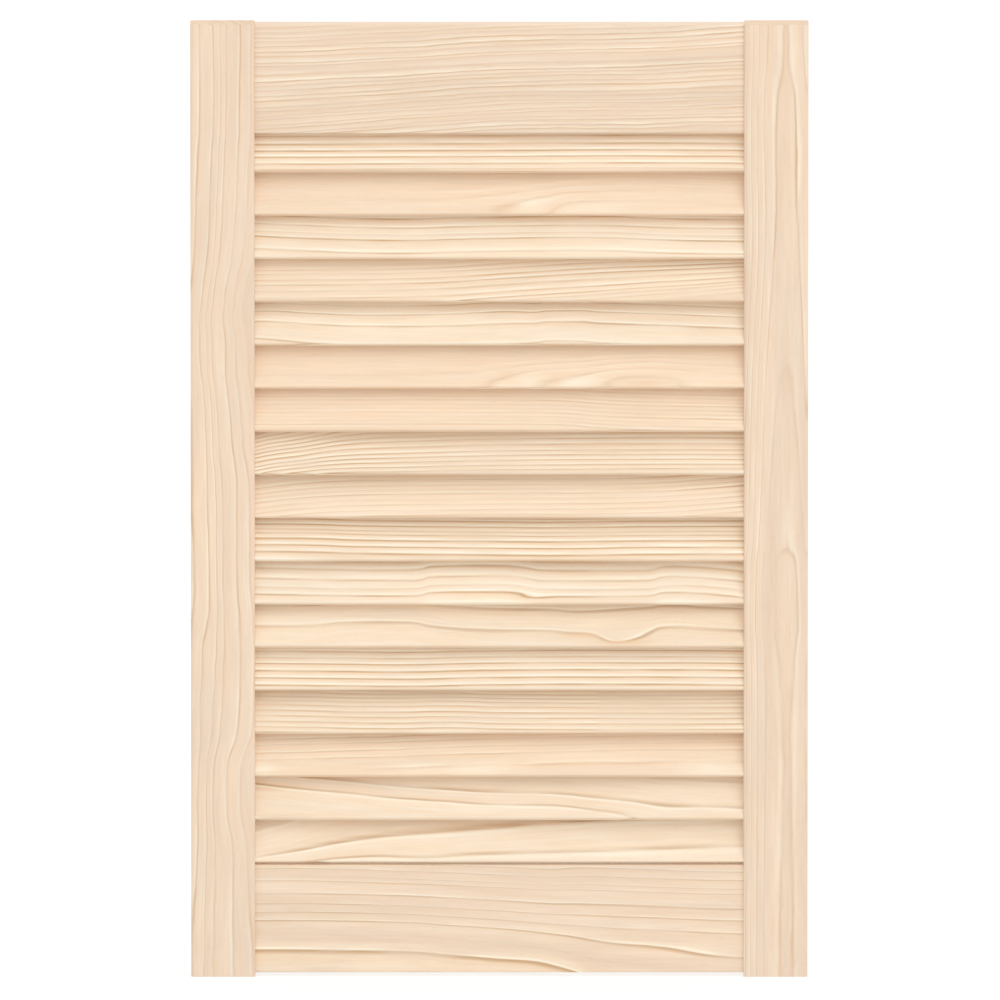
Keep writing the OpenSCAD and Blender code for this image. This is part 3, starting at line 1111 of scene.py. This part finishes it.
# %% Note the grain of the rails
RAIL_PLAIN = (0.788, 0.612, 0.460)
TOP_RAIL_GRAIN = {
    "plain": RAIL_PLAIN,
    "reach": (-12, 84),
    "rings": [(2.6, 0.4), (5.1, 0.55), (8.4, 0.4), (10.3, 0.25), (13.5, 0.42), (15.4, 0.25),
              (18.6, 0.3), (20.6, 0.22), (23.8, 0.22), (26.4, 0.25), (30.5, 0.6), (33.1, 0.42),
              (36.7, 0.42), (39.2, 0.25), (41.5, 0.6), (45.7, 0.22), (50.8, 0.3), (52.7, 0.5),
              (56.6, 0.25), (59.5, 0.58), (63, 0.42), (66.2, 0.3), (68.8, 0.3)],
    "rise": [(-156, -10.6), (-96, -6.8), (-64, -4.4), (-32, -2), (0, 0), (32, 1), (64, 1.3), (96, 1.4),
             (112, 1.8), (128, 2.3), (153, 2.6)],
    "fan": [(-156, -0.06), (-96, -0.03), (0, 0), (64, -0.005), (96, -0.015), (128, -0.035),
            (153, -0.057)],
    "wander": 0.9,
}
BOTTOM_RAIL_GRAIN = {
    "plain": RAIL_PLAIN,
    "reach": (-10, 90),
    "rings": [(-14, 0.2), (9.3, 0.9), (20, 0.06), (28.9, 0.7), (34.5, 0.45), (40.3, 0.45), (47, 0.5),
              (55.3, 0.45), (58.4, 0.4), (63.5, 0.4), (68.5, 0.4)],
    "rise": [(-156, 6), (-128, 6.1), (-96, 5.6), (-64, 5.2), (-32, 2.6), (0, 0), (32, -3.2),
             (64, -6), (96, -7.3), (128, -8.6), (153, -9.1)],
    "fan": [(-156, 0.03), (-96, 0.03), (-64, 0.04), (-32, 0.02), (0, 0), (32, -0.03), (64, -0.08),
            (96, -0.085), (153, -0.09)],
    "swirls": [(156, 6, 95, 15, 11.5), (70, 17, 35, 12, 2.5), (-130, 8, 45, 3, 2.2),
               (26, 8, 20, 7, -1.9), (59, 1, 10, 6, 2.4)],
    "early": 1.2,
    "late": 1.5,
    "spots": [(-140, 9, 50, 6, 0.4), (38, 4, 26, 6, 0.5), (-130, 68, 45, 4, 1.0)],
}
rail_rings = [len(grain["rings"]) for grain in (TOP_RAIL_GRAIN, BOTTOM_RAIL_GRAIN)]
print("rings drawn on the top and the bottom rail:", rail_rings)

# %% Make the top rail
RAIL_EASE = 0.001
REBATE_EASE = 0.0003
REBATE_FIT = 0.0004
RAIL_STEPS = 60


def make_rail(node, corners, radii, grain, seed):
    """One rail, its section given as depth behind its face and height above its lower edge."""
    low, high = node_box(node)
    middle = (low + high) / 2
    corner = Vector((middle.x, low.y, low.z))

    def upright(depth, across):
        """The section needs no turn, only its place."""
        return corner.y + depth, corner.z + across

    outline = eased_outline(corners, radii)
    rail = board_surface(f"{node}_board", outline, upright, (high.x - low.x) / 2, RAIL_STEPS)
    rail.data.materials.append(pine_board(f"{node}_pine", corner, (0, 0, 0), grain, seed))
    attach(rail, "root")
    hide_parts(node)
    return rail


top_low, top_high = node_box("top_rail")
slat_middle = (slat_low + slat_high) / 2
rail_depth = top_high.y - top_low.y
rail_height = top_high.z - top_low.z
shoulder = slat_high.z + REBATE_FIT - top_low.z


def rebate_depth(across):
    """Depth of the slanted cut, one gap in front of the highest slat's face."""
    above_slat_middle = top_low.z + across - slat_middle.z
    plane = above_slat_middle * math.tan(SLAT_LEAN)
    return plane - (SLAT_THICKNESS / 2 + REBATE_FIT) / math.cos(SLAT_LEAN) - top_low.y


top_rail_eases = [RAIL_EASE, REBATE_EASE, REBATE_EASE, REBATE_EASE, RAIL_EASE, RAIL_EASE]
top_rail = make_rail("top_rail", [
    (0, 0),
    (rebate_depth(0), 0),
    (rebate_depth(shoulder), shoulder),
    (rail_depth, shoulder),
    (rail_depth, rail_height),
    (0, rail_height),
], top_rail_eases, TOP_RAIL_GRAIN, seed=31)
print("shoulder of the rebate in millimetres:", round(1000 * shoulder, 1))

# %% Make the bottom rail
foot_low, foot_high = node_box("bottom_rail")
foot_height = foot_high.z - foot_low.z
bottom_rail = make_rail("bottom_rail", [
    (0, 0),
    (rail_depth, 0),
    (rail_depth, foot_height),
    (0, foot_height),
], [RAIL_EASE] * 4, BOTTOM_RAIL_GRAIN, seed=32)
print("rails:", top_rail.name, bottom_rail.name)

# %% [markdown]
# The stiles
#
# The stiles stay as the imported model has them, with their eased edges and the slanted housings that
# hold the slats, and only get their wood. The left one has wavy upright lines that pull together
# and part again. The right one was cut flat, so its rings draw three tall arches near the outer
# edge and run straight along the inner one. The ends of both show end grain.

# %% Note the grain of the stiles
STILE_PLAIN = (0.792, 0.619, 0.470)
LEFT_STILE_GRAIN = {
    "plain": STILE_PLAIN,
    "reach": (-8, 56),
    "rings": [(0.5, 0.42), (10.3, 0.42), (15.4, 0.4), (19.6, 0.35), (28.9, 0.44), (37, 0.26),
              (46, 0.14), (55, 0.12)],
    "cream_below": True,
    "rise": [(-312, 5.6), (-258, 5.9), (-219, 4.2), (-193, 3.2), (-155, 1.8), (-129, -0.9),
             (-97, -3.8), (-72, -1.2), (-40, 0.7), (0, 0.6), (37, 1.5), (76, 0.5), (114, -1.7),
             (146, -3.7), (178, -5.8), (223, -7), (287, -9.8), (307, -10)],
    "fan": [(-312, 0.1), (-258, 0.12), (-219, 0.1), (-193, 0.11), (-155, 0.2), (-129, 0.32),
            (-97, 0.15), (-72, 0.17), (-40, 0.14), (0, 0), (37, 0.03), (76, -0.05), (114, -0.12),
            (146, -0.15), (178, 0), (223, -0.15), (287, -0.3)],
    "swirls": [(95, 8, 17, 6, 3.0), (130, 7.2, 21, 6, 3.2)],
    "spots": [(75, 9, 45, 5, 0.5), (-155, 34, 60, 8, -0.6)],
    "wander": 0.8,
    "early": 1.6,
    "late": 1.5,
}
RIGHT_STILE_GRAIN = {
    "plain": STILE_PLAIN,
    "reach": (-16, 36),
    "rings": [(-10, 0.32), (-5, 0.22), (0, 0.4), (5, 0.34), (10, 0.36), (15, 0.36), (20, 0.3)],
    "late": 0.7,
    "early": 1.6,
    "straight": 0.0,
    "arch": 0.0345,
    "centre": 26.4,
    "lean": -0.9,
    "rise": [(-312, -0.6), (-283, 0), (-270, 0.9), (-257, 1.5), (-193, 2.1), (-103, 4.8), (-93, 5),
             (-84, 5.4), (-65, 6), (-46, 6.9), (-27, 7.6), (0, 8.6), (28, 10), (44, 11.9),
             (76, 12.4), (95, 11.4), (127, 10.7), (191, 10.9), (255, 11.2), (307, 11.3)],
    "swirls": [(-165, 9, 50, 12, 2.5), (-300, 26.8, 24, 2.2, -1.0), (215, 21, 110, 5, 1.5)],
    "spots": [(-278, 26, 18, 9, -0.4), (52, 19, 50, 8, -0.95), (-60, 24, 60, 9, -0.35),
              (-230, 33, 70, 6, 0.5), (-70, 13, 45, 4, -0.5), (165, 28.3, 60, 2.5, -0.6)],
    "wander": 0.5,
}
stile_rings = [len(grain["rings"]) for grain in (LEFT_STILE_GRAIN, RIGHT_STILE_GRAIN)]
print("rings drawn on the left and the right stile:", stile_rings)

# %% Give the stiles their wood
STILE_TURN = (0, -math.pi / 2, 0)
END_MARGIN_MM = 0.01


def give_wood(node, material):
    """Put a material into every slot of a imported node."""
    for slot in bpy.data.objects[node].material_slots:
        slot.material = material


def dress_stile(node, grain, seed):
    """Pine on a packed stile, whose grain is read downwards from the middle of its height."""
    low, high = node_box(node)
    middle = (low + high) / 2
    corner = Vector((low.x, low.y, middle.z))
    half = MILLIMETRES * (high.z - low.z) / 2 - END_MARGIN_MM
    give_wood(node, pine_board(f"{node}_pine", corner, STILE_TURN, grain, seed, half_length=half))


dress_stile("stile_left", LEFT_STILE_GRAIN, seed=41)
dress_stile("stile_right", RIGHT_STILE_GRAIN, seed=42)
print("stiles have their wood")

# %% [markdown]
# The dowels
#
# The dowels are turned from beech, which is denser and pinker than pine and has no clear rings, but
# short brown flecks along its length. They are hidden in the joints, and a view of one piece by
# itself still shows them, so they get their own wood too.

# %% Give the dowels their wood
BEECH_PLAIN = (0.560, 0.385, 0.245, 1)
BEECH_FLECK = (0.330, 0.190, 0.105, 1)
BEECH_FLECK_MM = (2.5, 0.3, 0.3)
BEECH_FLECK_FROM = (0.62, 0.70)
BEECH_FLECK_STRENGTH = 0.7
BEECH_FIBRE_MM = (12, 0.4, 0.4)
BEECH_FIBRE_STRENGTH = 0.18
BEECH_ROUGHNESS = (0.45, 0.6)


def make_beech():
    """Beech along the length of a dowel: fine fibres and short brown flecks."""
    material = bpy.data.materials.new("dowel_beech")
    material.use_nodes = True
    tree = material.node_tree
    shader = tree.nodes["Principled BSDF"]
    coordinates = tree.nodes.new("ShaderNodeTexCoord")
    millimetre_axes = tree.nodes.new("ShaderNodeMapping")
    millimetre_axes.inputs["Scale"].default_value = (MILLIMETRES, MILLIMETRES, MILLIMETRES)
    tree.links.new(coordinates.outputs["Object"], millimetre_axes.inputs["Vector"])
    point = millimetre_axes.outputs[0]
    fleck_noise = add_noise(tree, point, BEECH_FLECK_MM)
    flecks = add_range(tree, fleck_noise, *BEECH_FLECK_FROM, 0, BEECH_FLECK_STRENGTH)
    fibre_noise = add_noise(tree, point, BEECH_FIBRE_MM, detail=1.0)
    fibres = add_range(tree, fibre_noise, *CORE_NOISE, 0, BEECH_FIBRE_STRENGTH)
    plain = add_mix(tree, fibres, BEECH_PLAIN, BEECH_FLECK)
    tree.links.new(add_mix(tree, flecks, plain, BEECH_FLECK), shader.inputs["Base Color"])
    roughness = add_range(tree, fibre_noise, 0, 1, *BEECH_ROUGHNESS)
    tree.links.new(roughness, shader.inputs["Roughness"])
    return material


beech = make_beech()
dowels = [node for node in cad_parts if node.startswith("dowel_")]
for node in dowels:
    give_wood(node, beech)
print("dowels:", len(dowels))
